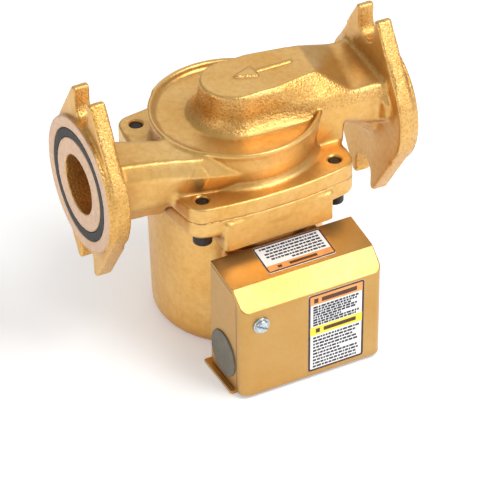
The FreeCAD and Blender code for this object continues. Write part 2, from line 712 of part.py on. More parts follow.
def base_wall(x0):
    below = 1.95
    front = SEAM_Y + 0.15
    return prism([(x0, BACK_Y, BOX_BOTTOM), (x0, front, BOX_BOTTOM),
                  (x0, front, roof_z(front, below + 0.4)),
                  (x0, FOLD1_Y, roof_z(FOLD1_Y, below)),
                  (x0, BACK_Y, roof_z(BACK_Y, below))], (SHEET, 0, 0))


def terminal_box_base():
    """back, floor with side lips, two walls with knockouts"""
    base = box(BOX_X0, BOX_X1, INSIDE_Y, BACK_Y, BOX_BOTTOM, roof_z(INSIDE_Y, 2.0))
    base = base.fuse([base_wall(BOX_X0), base_wall(BOX_X1 - SHEET)])
    floor = box(BOX_X0 - 2.5, BOX_X1 + 2.5, SEAM_Y + 0.6, BACK_Y + 3.0,
                BOX_BOTTOM - SHEET, BOX_BOTTOM)
    floor = floor.cut(cylinder(SHELL_TOP_R + 0.6, -110, -60))
    floor = fillet(floor, 1.2, lambda e: abs(e.BoundBox.ZLength - SHEET) < 0.01
                   and e.BoundBox.YMax < -60)
    base = base.fuse(floor)
    # thin relief line between the lip and the wall
    for x0, x1 in ((BOX_X0 - 0.01, BOX_X0 + 0.5), (BOX_X1 - 0.5, BOX_X1 + 0.01)):
        base = base.cut(box(x0, x1, SEAM_Y + 2.0, BACK_Y - 2.0, BOX_BOTTOM, BOX_BOTTOM + 0.6))
    # post for the cover screw
    base = base.fuse(cylinder_y(4.2, -71.2, INSIDE_Y + 0.2, SCREW_X, SCREW_Z))
    base = base.cut(cylinder_y(2.0, -75, -56, SCREW_X, SCREW_Z))
    for x0, x1 in ((BOX_X0 - 1, BOX_X0 + SHEET + 0.1), (BOX_X1 - SHEET - 0.1, BOX_X1 + 1)):
        base = base.cut(cylinder_x(KNOCKOUT_R, x0, x1, PLUG_Y, PLUG_Z))
    # holes in the back: leads, mounting screws, ground screw
    holes = [(5.0, 0, LEAD_Z)] + [(2.3, x, z) for x, z in MOUNTS]
    holes.append((2.02, GROUND_X, GROUND_Z))
    for radius, x, z in holes:
        base = base.cut(cylinder_y(radius, BACK_Y - 3, BACK_Y + 1, x, z))
    return merged(base)


def box_mounting_screw(x, z):
    """slotted pan head inside the box"""
    head_y = INSIDE_Y - 2.2
    screw = fillet(cylinder_y(3.6, head_y, INSIDE_Y, x, z), 0.9, lies_at("Y", head_y))
    screw = screw.cut(box(x - 4, x + 4, BACK_Y - 6, INSIDE_Y - 1.2, z - 0.45, z + 0.45))
    return screw.fuse(cylinder_y(2.0, INSIDE_Y, -36.8, x, z)).removeSplitter()


def conduit_plug(side, wall_x):
    """thin head outside the wall and a hollow sleeve through the knockout"""
    def disc(radius, start, end):
        """distances are outwards from the wall's outer face"""
        x0, x1 = sorted((wall_x + side * start, wall_x + side * end))
        return cylinder_x(radius, x0, x1, PLUG_Y, PLUG_Z)

    head_t = 0.8
    plug = fillet(disc(KNOCKOUT_R + 0.7, 0, head_t), 0.5, lies_at("X", wall_x + side * head_t))
    plug = plug.fuse(disc(KNOCKOUT_R - 0.08, -4.0, 0))
    return merged(plug.cut(disc(KNOCKOUT_R - 1.3, -5, -0.7)))


def terminal_box_cover():
    """folded roof, front face, rounded front corners"""
    outer = prism([(BOX_X0, BACK_Y, BOX_TOP), (BOX_X0, FOLD1_Y, FOLD1_Z),
                   (BOX_X0, FOLD2_Y, FOLD2_Z), (BOX_X0, FRONT_Y, BOX_BOTTOM),
                   (BOX_X0, BACK_Y, BOX_BOTTOM)], (BOX_X1 - BOX_X0, 0, 0))
    outer = fillet(outer, COVER_R, upright_at_y(FRONT_Y, 40))

    def fold(edge):
        bounds = edge.BoundBox
        return (bounds.XLength > 60 and bounds.YLength < 0.01
                and (abs(bounds.YMin - FOLD1_Y) < 0.01 or abs(bounds.ZMax - FOLD2_Z) < 0.01))
    outer = fillet(outer, 1.0, fold)
    x0 = BOX_X0 - 5
    rear_y, front_y = BACK_Y + 1, FRONT_Y + COVER_SHEET
    inner = prism([(x0, rear_y, roof_z(rear_y, COVER_SHEET)),
                   (x0, FOLD1_Y + 0.1, FOLD1_Z - COVER_SHEET),
                   (x0, front_y, FOLD2_Z - COVER_SHEET * 0.55),
                   (x0, front_y, BOX_BOTTOM - 2), (x0, rear_y, BOX_BOTTOM - 2)],
                  (BOX_X1 - BOX_X0 + 10, 0, 0))
    # hollow: full width behind the seam, between the returns in front of it
    back = inner.common(box(BOX_X0 - 6, BOX_X1 + 6, SEAM_Y - 0.15, BACK_Y + 2,
                            BOX_BOTTOM - 3, 0))
    front = inner.common(box(BOX_X0 + SHEET, BOX_X1 - SHEET, FRONT_Y - 1, SEAM_Y,
                             BOX_BOTTOM - 3, 0))
    front = fillet(front, COVER_R - SHEET, upright_at_y(front_y, 30))
    cover = outer.cut(back.fuse(front))
    return merged(cover.cut(cylinder_y(2.3, FRONT_Y - 1, FRONT_Y + 4, SCREW_X, SCREW_Z)))


def cover_screw():
    """slotted round-washer head outside the front face"""
    washer_y, dome_y = FRONT_Y - 1.0, FRONT_Y - 2.6
    screw = cylinder_y(4.2, washer_y, FRONT_Y, SCREW_X, SCREW_Z)
    screw = fillet(screw, 0.4, lies_at("Y", washer_y))
    dome = cylinder_y(3.4, dome_y, FRONT_Y - 0.8, SCREW_X, SCREW_Z)
    screw = screw.fuse(fillet(dome, 1.2, lies_at("Y", dome_y)))
    slot = box(-4, 4, FRONT_Y - 4, FRONT_Y - 1.6, -0.5, 0.5)
    slot.rotate(Vector(0, 0, 0), Vector(0, 1, 0), 28)
    slot.translate(Vector(SCREW_X, 0, SCREW_Z))
    screw = screw.cut(slot)
    return merged(screw.fuse(cylinder_y(1.9, FRONT_Y, -60.0, SCREW_X, SCREW_Z)))


def label_front():
    label = box(0.3, 30.0, FRONT_Y - LABEL_T, FRONT_Y, -89.8, -44.7)
    return fillet(label, 1.2, lambda e: abs(e.BoundBox.YLength - LABEL_T) < 1e-3)


def label_top():
    """made flat, then tilted about the first fold to lie on the roof"""
    label = box(-13.4, 22.1, -60.6, -42.6, 0.0, LABEL_T)
    label = fillet(label, 1.2, lambda e: abs(e.BoundBox.ZLength - LABEL_T) < 1e-3)
    tilt = math.degrees(math.atan2(BOX_TOP - FOLD1_Z, BACK_Y - FOLD1_Y))
    label.translate(Vector(0, -FOLD1_Y, 0))
    label.rotate(Vector(0, 0, 0), Vector(1, 0, 0), tilt)
    label.translate(Vector(0, FOLD1_Y, FOLD1_Z))
    return label


# ---------------------------------------------------------------------------
# inside the terminal box
# ---------------------------------------------------------------------------
def capacitor_bar(x0, x1, half_y, half_z):
    """bar along X on the capacitor's centre, rounded at top and bottom"""
    rise = half_z - half_y
    bar = box(x0, x1, CAP_Y - half_y, CAP_Y + half_y, CAP_Z - rise, CAP_Z + rise)
    return bar.fuse([cylinder_x(half_y, x0, x1, CAP_Y, CAP_Z - rise),
                     cylinder_x(half_y, x0, x1, CAP_Y, CAP_Z + rise)]).removeSplitter()


def run_capacitor():
    body = fillet(capacitor_bar(CAP_X0, CAP_X1, 8.0, 13.5), 1.0, lies_at("X", CAP_X0, CAP_X1))
    # two blade terminals
    for z in (CAP_Z - 5.0, CAP_Z + 5.0):
        body = body.fuse(box(CAP_X0 - 6.5, CAP_X0 + 0.5, CAP_Y - 0.4, CAP_Y + 0.4,
                             z - 3.1, z + 3.1))
    return merged(body)


def capacitor_strap():
    def loop(x0, x1, half_y, half_z, rear_y):
        return capacitor_bar(x0, x1, half_y, half_z).fuse(
            box(x0, x1, CAP_Y, rear_y, CAP_Z - half_z, CAP_Z + half_z))
    strap = loop(10.0, 20.0, 8.9, 14.4, INSIDE_Y)
    strap = strap.cut(loop(9.0, 21.0, 8.05, 13.55, BACK_Y))
    # room for the head of a mounting screw
    return merged(strap.cut(cylinder_y(4.2, -60, -40, 18.0, -84.0)))


def lead_grommet():
    grommet = cylinder_y(6.6, INSIDE_Y - 1.6, INSIDE_Y, 0, LEAD_Z)
    grommet = grommet.fuse(cylinder_y(4.95, INSIDE_Y, -38.3, 0, LEAD_Z))
    return merged(grommet.cut(cylinder_y(4.25, -60, -30, 0, LEAD_Z)))


def ground_screw():
    screw = cylinder_y(4.0, INSIDE_Y - 2.4, INSIDE_Y, GROUND_X, GROUND_Z)
    screw = screw.cut(box(GROUND_X - 5, GROUND_X + 5, BACK_Y - 6, INSIDE_Y - 1.3,
                          GROUND_Z - 0.45, GROUND_Z + 0.45))
    return merged(screw.fuse(cylinder_y(2.0, INSIDE_Y, BACK_Y + 0.1, GROUND_X, GROUND_Z)))


# wire paths (x, y, z), starting inside the motor at the lead hole
BLACK_PATH = [
    (-1.4, -37.0, -79.1), (-1.4, -42.0, -79.1), (-1.2, -47.5, -77.0), (-5.0, -49.5, -67.0),
    (-10.0, -52.0, -57.0), (-4.0, -58.0, -52.5), (8.0, -62.0, -52.5), (18.0, -64.0, -54.5)]
WHITE_PATH = [
    (1.4, -37.0, -79.1), (1.4, -42.0, -79.1), (2.0, -47.0, -77.0), (1.5, -48.5, -66.0),
    (2.0, -50.0, -54.0), (8.0, -54.0, -48.5), (18.0, -57.0, -47.0), (28.0, -60.0, -49.0)]
CAPACITOR_PATHS = [
    [(-1.4, -37.0, -81.9), (-1.4, -42.0, -81.9), (-4.0, -46.5, -81.6), (-10.0, -50.0, -79.0),
     (-15.0, -55.0, -75.0), (-16.0, -60.0, -71.0), (-11.7, -60.5, -70.0)],
    [(1.4, -37.0, -81.9), (1.4, -42.0, -81.9), (1.0, -45.9, -83.4), (-5.0, -48.5, -85.6),
     (-12.0, -53.0, -85.6), (-16.5, -58.0, -82.4), (-11.7, -60.5, -80.0)]]

# ---------------------------------------------------------------------------
# all parts
# ---------------------------------------------------------------------------
save("volute_casing", volute_casing())
save("inlet_flange_gasket", flange_gasket(1))
save("outlet_flange_gasket", flange_gasket(-1))
save("casing_o_ring", casing_o_ring())
save("motor_housing", motor_housing())
save("motor_cap_screws", Part.makeCompound([cap_screw(x, y) for x, y in EARS]))
save("stator_core", stator_core())
save("stator_windings", stator_windings())
save("rotor_can", rotor_can())
save("bearing_plate", bearing_plate())
save("upper_bearing", bearing(-24.6, BEARING_TOP))
save("lower_bearing", bearing(CAN_FLOOR, -76.0))
save("rotor_shaft", rotor_shaft())
save("rotor_core", ring(ROTOR_R, SHAFT_R, CORE_BOTTOM, CORE_TOP))
save("rotor_sleeve", ring(SLEEVE_R, ROTOR_R, CORE_BOTTOM - 3.4, CORE_TOP + 3.4))
save("rotor_end_rings", rotor_end_rings())
save("thrust_washers", thrust_washers())
save("impeller", impeller())
save("impeller_cover", impeller_cover())
save("impeller_clip", impeller_clip())
save("terminal_box_base", terminal_box_base())
save("box_mounting_screws", Part.makeCompound([box_mounting_screw(x, z) for x, z in MOUNTS]))
save("conduit_plug_left", conduit_plug(-1, BOX_X0))
save("conduit_plug_right", conduit_plug(1, BOX_X1))
save("terminal_box_cover", terminal_box_cover())
save("cover_screw", cover_screw())
save("label_front", label_front())
save("label_top", label_top())
save("run_capacitor", run_capacitor())
save("capacitor_strap", capacitor_strap())
save("lead_grommet", lead_grommet())
save("ground_screw", ground_screw())
save("lead_wire_black", wire_tube(BLACK_PATH, 1.15))
save("lead_wire_white", wire_tube(WHITE_PATH, 1.15))
save("capacitor_leads", Part.makeCompound([wire_tube(path, 1.05) for path in CAPACITOR_PATHS]))
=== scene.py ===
import bpy
import bmesh
import math
import numpy as np
from mathutils import Matrix, Vector
from mathutils.bvhtree import BVHTree


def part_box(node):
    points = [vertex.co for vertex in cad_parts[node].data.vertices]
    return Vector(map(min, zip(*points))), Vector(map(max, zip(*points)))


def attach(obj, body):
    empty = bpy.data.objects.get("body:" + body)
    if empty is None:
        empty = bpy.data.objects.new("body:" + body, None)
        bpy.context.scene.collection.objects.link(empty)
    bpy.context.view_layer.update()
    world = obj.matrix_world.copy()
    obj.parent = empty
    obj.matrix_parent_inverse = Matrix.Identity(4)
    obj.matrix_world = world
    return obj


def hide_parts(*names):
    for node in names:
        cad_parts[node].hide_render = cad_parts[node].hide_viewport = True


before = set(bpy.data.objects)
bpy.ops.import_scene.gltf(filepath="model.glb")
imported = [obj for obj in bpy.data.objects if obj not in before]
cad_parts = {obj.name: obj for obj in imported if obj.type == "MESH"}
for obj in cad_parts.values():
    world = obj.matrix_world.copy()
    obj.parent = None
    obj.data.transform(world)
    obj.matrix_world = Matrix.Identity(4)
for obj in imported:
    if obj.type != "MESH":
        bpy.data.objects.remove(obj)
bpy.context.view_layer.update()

MM = 0.001
scene = bpy.context.scene
coll = scene.collection
scene.view_settings.view_transform = "Standard"
scene.view_settings.look = "None"
scene.view_settings.exposure = 0.0
scene.view_settings.gamma = 1.0

# ---------------------------------------------------------------------------
# driving positions, in millimetres, read from the frame
# ---------------------------------------------------------------------------
lo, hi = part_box("volute_casing")
FACE_X = hi.x / MM
lo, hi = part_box("motor_housing")
FLOOR_Z = lo.z / MM
lo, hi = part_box("outlet_flange_gasket")
AXIS_Z = 0.5 * (lo.z + hi.z) / MM      # height of the pipe axis
lo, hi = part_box("terminal_box_cover")
CV_X0, CV_X1 = lo.x / MM, hi.x / MM
CV_YF = lo.y / MM
CV_YB = hi.y / MM
CV_ZT, CV_ZB = hi.z / MM, lo.z / MM


# ---------------------------------------------------------------------------
# value noise on a lattice, the same every run
# ---------------------------------------------------------------------------
def _hash(ix, iy, iz, seed):
    h = (ix * 374761393 + iy * 668265263 + iz * 2147483647 + seed * 974634777) & 0xFFFFFFFF
    h = (h ^ (h >> 13)) * 1274126177 & 0xFFFFFFFF
    h = (h ^ (h >> 16)) * 2246822519 & 0xFFFFFFFF
    h = h ^ (h >> 15)
    return (h & 0xFFFF) / 32767.5 - 1.0


def vnoise(P, size, seed=0):
    q = P / size
    i = np.floor(q).astype(np.int64)
    f = q - i
    u = f * f * f * (f * (f * 6 - 15) + 10)
    out = np.zeros(len(P))
    for dx in (0, 1):
        wx = u[:, 0] if dx else 1 - u[:, 0]
        for dy in (0, 1):
            wy = u[:, 1] if dy else 1 - u[:, 1]
            for dz in (0, 1):
                wz = u[:, 2] if dz else 1 - u[:, 2]
                out += wx * wy * wz * _hash(i[:, 0] + dx, i[:, 1] + dy, i[:, 2] + dz, seed)
    return out


# ---------------------------------------------------------------------------
# mesh helpers
# ---------------------------------------------------------------------------
def welded_copy(node, name):
    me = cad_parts[node].data.copy()
    me.name = name
    me.materials.clear()
    bm = bmesh.new()
    bm.from_mesh(me)
    bmesh.ops.remove_doubles(bm, verts=bm.verts, dist=3e-6)
    bmesh.ops.dissolve_degenerate(bm, dist=1e-6, edges=bm.edges)
    bm.to_mesh(me)
    bm.free()
    ob = bpy.data.objects.new(name, me)
    coll.objects.link(ob)
    return ob


def bake(ob):
    """apply the object's modifiers into its mesh"""
    dg = bpy.context.evaluated_depsgraph_get()
    dg.update()
    me = bpy.data.meshes.new_from_object(ob.evaluated_get(dg))
    old = ob.data
    ob.modifiers.clear()
    ob.data = me
    me.name = ob.name
    if old.users == 0:
        bpy.data.meshes.remove(old)
    return ob


def coords(me):
    co = np.empty(len(me.vertices) * 3)
    me.vertices.foreach_get("co", co)
    return co.reshape(-1, 3)


def set_coords(me, co):
    me.vertices.foreach_set("co", np.ascontiguousarray(co, dtype=np.float32).ravel())
    me.update()


def normals(me):
    n = np.empty(len(me.vertices) * 3, dtype=np.float32)
    me.vertices.foreach_get("normal", n)
    return n.reshape(-1, 3).astype(float)


def edge_array(me):
    e = np.empty(len(me.edges) * 2, dtype=np.int32)
    me.edges.foreach_get("vertices", e)
    return e.reshape(-1, 2)


def relax(co, edges, weight, rounds, lam=0.5):
    """umbrella smoothing, weighted per point"""
    n = len(co)
    deg = np.bincount(edges.ravel(), minlength=n).astype(float)
    deg[deg == 0] = 1
    for _ in range(rounds):
        acc = np.zeros_like(co)
        for k in range(3):
            acc[:, k] = (np.bincount(edges[:, 0], co[edges[:, 1], k], n)
                         + np.bincount(edges[:, 1], co[edges[:, 0], k], n))
        avg = acc / deg[:, None]
        co = co + (avg - co) * (lam * weight)[:, None]
    return co


def smooth_shade(me, on=True):
    me.polygons.foreach_set("use_smooth", [on] * len(me.polygons))
    me.update()


def remeshed(node, name, voxel_mm):
    """a dense even mesh over a CAD node's solid, pulled back onto its surface"""
    src = welded_copy(node, name)
    tree = BVHTree.FromObject(src, bpy.context.evaluated_depsgraph_get())
    m = src.modifiers.new("r", "REMESH")
    m.mode = "VOXEL"
    m.voxel_size = voxel_mm * MM
    m.adaptivity = 0.0
    bake(src)
    co = coords(src.data)
    snapped = co.copy()
    for i in range(len(co)):
        hit = tree.find_nearest(co[i])
        if hit[0] is not None:
            snapped[i] = hit[0]
    return src, co, snapped


# ---------------------------------------------------------------------------
# materials, all node-built
# ---------------------------------------------------------------------------
class Nodes:
    def __init__(self, name):
        self.mat = bpy.data.materials.new(name)
        self.mat.use_nodes = True
        self.nt = self.mat.node_tree
        self.nt.nodes.clear()
        self.out = self.nt.nodes.new("ShaderNodeOutputMaterial")
        self.bsdf = self.nt.nodes.new("ShaderNodeBsdfPrincipled")
        self.nt.links.new(self.bsdf.outputs[0], self.out.inputs[0])
        tc = self.nt.nodes.new("ShaderNodeTexCoord")
        self.obj = tc.outputs["Object"]

    def link(self, a, b):
        self.nt.links.new(a, b)

    def put(self, socket, value):
        s = self.bsdf.inputs[socket]
        if hasattr(value, "is_linked"):
            self.link(value, s)
        else:
            s.default_value = value

    def noise(self, size_mm, detail=3.0, rough=0.5, vec=None, dist=0.0):
        n = self.nt.nodes.new("ShaderNodeTexNoise")
        n.inputs["Scale"].default_value = 1000.0 / size_mm
        n.inputs["Detail"].default_value = detail
        n.inputs["Roughness"].default_value = rough
        n.inputs["Distortion"].default_value = dist
        self.link(vec or self.obj, n.inputs["Vector"])
        return n.outputs["Fac"]

    def voronoi(self, size_mm, feature="F1", vec=None):
        n = self.nt.nodes.new("ShaderNodeTexVoronoi")
        n.feature = feature
        n.inputs["Scale"].default_value = 1000.0 / size_mm
        self.link(vec or self.obj, n.inputs["Vector"])
        return n.outputs["Distance"]

    def ramp(self, fac, stops, smooth=False):
        r = self.nt.nodes.new("ShaderNodeValToRGB")
        if smooth:
            r.color_ramp.interpolation = "EASE"
        els = r.color_ramp.elements
        while len(els) < len(stops):
            els.new(0.5)
        for e, (p, c) in zip(els, stops):
            e.position = p
            e.color = tuple(c) + (1.0,) if len(c) == 3 else c
        self.link(fac, r.inputs[0])
        return r.outputs[0]

    def maprange(self, v, a, b, c, d):
        m = self.nt.nodes.new("ShaderNodeMapRange")
        m.inputs["From Min"].default_value = a
        m.inputs["From Max"].default_value = b
        m.inputs["To Min"].default_value = c
        m.inputs["To Max"].default_value = d
        self.link(v, m.inputs["Value"])
        return m.outputs["Result"]

    def math(self, op, a, b=None, clamp=False):
        m = self.nt.nodes.new("ShaderNodeMath")
        m.operation = op
        m.use_clamp = clamp
        for k, v in ((0, a), (1, b)):
            if v is None:
                continue
            if hasattr(v, "is_linked"):
                self.link(v, m.inputs[k])
            else:
                m.inputs[k].default_value = v
        return m.outputs[0]

    def mix(self, fac, a, b, mode="MIX"):
        m = self.nt.nodes.new("ShaderNodeMix")
        m.data_type = "RGBA"
        m.blend_type = mode
        ins = [s for s in m.inputs if s.type == "RGBA"]
        for s, v in ((m.inputs[0], fac), (ins[0], a), (ins[1], b)):
            if hasattr(v, "is_linked"):
                self.link(v, s)
            elif s.type == "RGBA":
                s.default_value = tuple(v) + (1.0,) if len(v) == 3 else v
            else:
                s.default_value = v
        return [s for s in m.outputs if s.type == "RGBA"][0]

    def xyz(self):
        s = self.nt.nodes.new("ShaderNodeSeparateXYZ")
        self.link(self.obj, s.inputs[0])
        return s.outputs

    def bump(self, height, dist_mm, strength=1.0, normal=None):
        b = self.nt.nodes.new("ShaderNodeBump")
        b.inputs["Strength"].default_value = strength
        b.inputs["Distance"].default_value = dist_mm * MM
        self.link(height, b.inputs["Height"])
        if normal is not None:
            self.link(normal, b.inputs["Normal"])
        return b.outputs[0]

    def pointiness(self):
        g = self.nt.nodes.new("ShaderNodeNewGeometry")
        return g.outputs["Pointiness"]

    def ao(self, dist_mm, samples=6):
        a = self.nt.nodes.new("ShaderNodeAmbientOcclusion")
        a.samples = samples
        a.inputs["Distance"].default_value = dist_mm * MM
        return a.outputs["AO"]


def srgb(r, g, b):
    def f(c):
        c /= 255.0
        return c / 12.92 if c <= 0.04045 else ((c + 0.055) / 1.055) ** 2.4
    return (f(r), f(g), f(b))


GOLD_LIGHT = srgb(242, 208, 142)
GOLD_MID = srgb(222, 172, 92)
GOLD_DEEP = srgb(194, 128, 38)


def gold(name, grain, rough0, rough1, hollow_shade=0.55, metallic=0.82, fine=0.45, fine_d=0.05, edge_highlight=0.5, pebble=1.15,
         reach=7.0, mottle=0.30, shade=0.0):
    n = Nodes(name)
    big = n.noise(28.0, 2.0, 0.5)
    mid = n.noise(3.2, 4.0, 0.6)
    col = n.ramp(big, [(0.30, GOLD_MID), (0.72, tuple(0.5 * (a + b) for a, b in zip(GOLD_MID, GOLD_LIGHT)))])
    col = n.mix(n.maprange(mid, 0.40, 0.70, 0.0, mottle), col, GOLD_DEEP)
    # convex edges are painted paler (painted highlight); hollows are painted darker (painted shade)
    pt = n.pointiness()
    painted_edge_highlight = n.maprange(pt, 0.515, 0.58, 0.0, edge_highlight)
    col = n.mix(painted_edge_highlight, col, GOLD_LIGHT)
    # painted shade: ambient occlusion darkens hollows, corners and recesses towards a deep orange-brown
    ao = n.ao(reach)
    painted_hollow_shade = n.math("MULTIPLY", n.math("SUBTRACT", 1.0, ao), hollow_shade, clamp=True)
    col = n.mix(painted_hollow_shade, col, srgb(150, 84, 14))
    if grain > 0.1:
        # the pits of the sand texture are painted darker, following the bump noise: painted shade in the pits
        pit_shade = n.maprange(n.noise(pebble, 2.0, 0.55), 0.34, 0.52, 0.42, 0.0)
        col = n.mix(pit_shade, col, srgb(164, 98, 22))
    if shade > 0:
        col = n.mix(shade, col, srgb(150, 108, 52))
    n.put("Base Color", col)
    n.put("Metallic", metallic)
    n.put("Roughness", n.maprange(n.noise(1.6, 3.0, 0.6), 0.3, 0.7, rough0, rough1))
    h1 = n.noise(fine, 2.0, 0.6)
    nrm = n.bump(h1, fine_d, 0.6)
    if grain > 0:
        peb = n.noise(pebble, 2.0, 0.55)
        nrm = n.bump(peb, grain, 1.0, nrm)
    n.put("Normal", nrm)
    n.bsdf.inputs["Coat Weight"].default_value = 0.12
    n.bsdf.inputs["Coat Roughness"].default_value = 0.35
    return n.mat


M_CAST = gold("gold_cast", 0.06, 0.28, 0.40, hollow_shade=1.0, reach=11.0)
M_ROUGH = gold("gold_cast_rough", 0.36, 0.25, 0.39, hollow_shade=1.0, pebble=1.05, reach=11.0)
M_SMOOTH = gold("gold_cast_smooth", 0.012, 0.32, 0.42, hollow_shade=0.85, reach=11.0)
M_SHEET = gold("gold_sheet_paint", 0.0, 0.33, 0.42, hollow_shade=0.5, fine=0.7, fine_d=0.018, edge_highlight=0.3, mottle=0.12,
               shade=0.42)


def machined():
    n = Nodes("machined_bronze")
    x, y, z = n.xyz()
    z = n.math("SUBTRACT", z, AXIS_Z * MM)
    r = n.math("SQRT", n.math("ADD", n.math("POWER", y, 2.0), n.math("POWER", z, 2.0)))
    w = n.math("SINE", n.math("MULTIPLY", r, 2 * math.pi / 0.00055))
    nz = n.noise(2.4, 4.0, 0.6)
    col = n.ramp(nz, [(0.3, srgb(206, 170, 140)), (0.7, srgb(226, 192, 160))])
    # painted shade: ambient occlusion darkens the groove and recesses towards a dark bronze
    ao = n.ao(4.0)
    col = n.mix(n.math("MULTIPLY", n.math("SUBTRACT", 1.0, ao), 0.7, clamp=True), col, srgb(150, 92, 40))
    n.put("Base Color", col)
    n.put("Metallic", 0.8)
    n.put("Roughness", n.maprange(n.noise(0.8, 2.0), 0.3, 0.7, 0.34, 0.46))
    n.put("Normal", n.bump(w, 0.012, 0.5, n.bump(n.noise(0.5, 2.0), 0.01, 0.5)))
    return n.mat


M_MACH = machined()


def simple(name, c0, c1, size, metallic, r0, r1, bump_mm=0.02, bump_size=0.5, coat=0.0, spec=0.5, sheen=0.0):
    n = Nodes(name)
    n.put("Base Color", n.ramp(n.noise(size, 4.0, 0.6), [(0.3, c0), (0.72, c1)]))
    n.put("Metallic", metallic)
    n.put("Roughness", n.maprange(n.noise(size * 0.4, 3.0), 0.3, 0.7, r0, r1))
    n.put("Normal", n.bump(n.noise(bump_size, 3.0, 0.6), bump_mm, 0.7))
    n.bsdf.inputs["Coat Weight"].default_value = coat
    n.bsdf.inputs["Specular IOR Level"].default_value = spec
    n.bsdf.inputs["Sheen Weight"].default_value = sheen
    return n.mat


def banded(name, c0, c1, axis, period_mm, metallic, r0, r1, depth):
    """fine parallel lines across an axis: laminations, wire layers, drawing marks"""
    n = Nodes(name)
    s = n.xyz()[axis]
    w = n.math("SINE", n.math("MULTIPLY", s, 2 * math.pi / (period_mm * MM)))
    f = n.maprange(w, -1, 1, 0.0, 1.0)
    col = n.mix(f, c0, c1)
    col = n.mix(n.maprange(n.noise(4.0), 0.35, 0.7, 0.0, 0.35), col, tuple(c * 0.6 for c in c0))
    n.put("Base Color", col)
    n.put("Metallic", metallic)
    n.put("Roughness", n.maprange(n.noise(1.2), 0.3, 0.7, r0, r1))
    n.put("Normal", n.bump(w, depth, 0.8))
    return n.mat


M_RUBBER = simple("gasket_rubber", srgb(38, 38, 38), srgb(58, 57, 56), 3.0, 0.0, 0.55, 0.75, 0.03, 0.4)
M_ORING = simple("o_ring_rubber", srgb(22, 22, 22), srgb(34, 34, 34), 3.0, 0.0, 0.45, 0.6)
M_BLACK = simple("black_oxide", srgb(34, 31, 30), srgb(66, 58, 54), 2.0, 0.55, 0.38, 0.55, 0.02, 0.4)
M_ZINC = simple("zinc_plate", srgb(168, 180, 188), srgb(214, 222, 226), 1.6, 0.95, 0.22, 0.38, 0.015, 0.3)
M_STAIN = banded("drawn_stainless", (0.55, 0.55, 0.56), (0.66, 0.66, 0.67), 2, 0.6, 0.95, 0.22, 0.34, 0.006)
M_LAM = banded("laminations", (0.16, 0.16, 0.18), (0.36, 0.36, 0.38), 2, 0.7, 0.8, 0.35, 0.5, 0.05)
M_COPPER = banded("winding_copper", srgb(120, 52, 20), srgb(196, 98, 48), 2, 0.9, 0.75, 0.28, 0.42, 0.12)
M_CARBON = simple("carbon", srgb(40, 40, 42), srgb(60, 60, 63), 1.2, 0.1, 0.35, 0.5, 0.01, 0.3)
M_CERAM = simple("ceramic", srgb(226, 222, 210), srgb(240, 238, 230), 4.0, 0.0, 0.15, 0.25, 0.004, 0.4, coat=0.3)
M_ALU = simple("aluminium", srgb(176, 178, 180), srgb(206, 208, 210), 2.0, 0.9, 0.3, 0.45, 0.02, 0.5)
M_IMP = simple("impeller_plastic", srgb(52, 54, 58), srgb(74, 76, 80), 2.4, 0.0, 0.4, 0.55, 0.02, 0.4)
M_PLUG = simple("plug_plastic", srgb(92, 88, 76), srgb(112, 107, 92), 6.0, 0.0, 0.42, 0.56, 0.02, 0.6)
M_GREEN = simple("green_zinc", srgb(24, 120, 58), srgb(52, 160, 84), 1.6, 0.7, 0.3, 0.42)
M_WBLK = simple("wire_black", srgb(18, 18, 19), srgb(32, 32, 34), 3.0, 0.0, 0.3, 0.42, 0.01, 0.6)
M_WWHT = simple("wire_white", srgb(214, 212, 206), srgb(236, 235, 230), 3.0, 0.0, 0.3, 0.42, 0.01, 0.6)
M_WBRN = simple("wire_brown", srgb(82, 44, 24), srgb(110, 62, 34), 3.0, 0.0, 0.3, 0.42, 0.01, 0.6)
M_WHITE = simple("label_white", srgb(244, 243, 240), srgb(252, 251, 249), 9.0, 0.0, 0.42, 0.55, 0.004, 0.8)
M_BORDER = simple("label_border", srgb(60, 30, 16), srgb(84, 44, 24), 5.0, 0.0, 0.4, 0.5, 0.004, 0.8)
M_ORANGE = simple("label_orange", srgb(236, 152, 84), srgb(246, 172, 100), 5.0, 0.0, 0.4, 0.5, 0.004, 0.8)
M_YELLOW = simple("label_yellow", srgb(246, 226, 60), srgb(252, 236, 84), 5.0, 0.0, 0.4, 0.5, 0.004, 0.8)
M_INK = simple("label_ink", srgb(34, 36, 52), srgb(56, 58, 76), 2.0, 0.0, 0.45, 0.55, 0.003, 0.8)
M_BAR = simple("label_bar", srgb(70, 36, 16), srgb(96, 52, 24), 3.0, 0.0, 0.4, 0.5, 0.003, 0.8)


def dress(node, mat):
    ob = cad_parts[node]
    ob.data.materials.clear()
    ob.data.materials.append(mat)
    for p in ob.data.polygons:
        p.material_index = 0


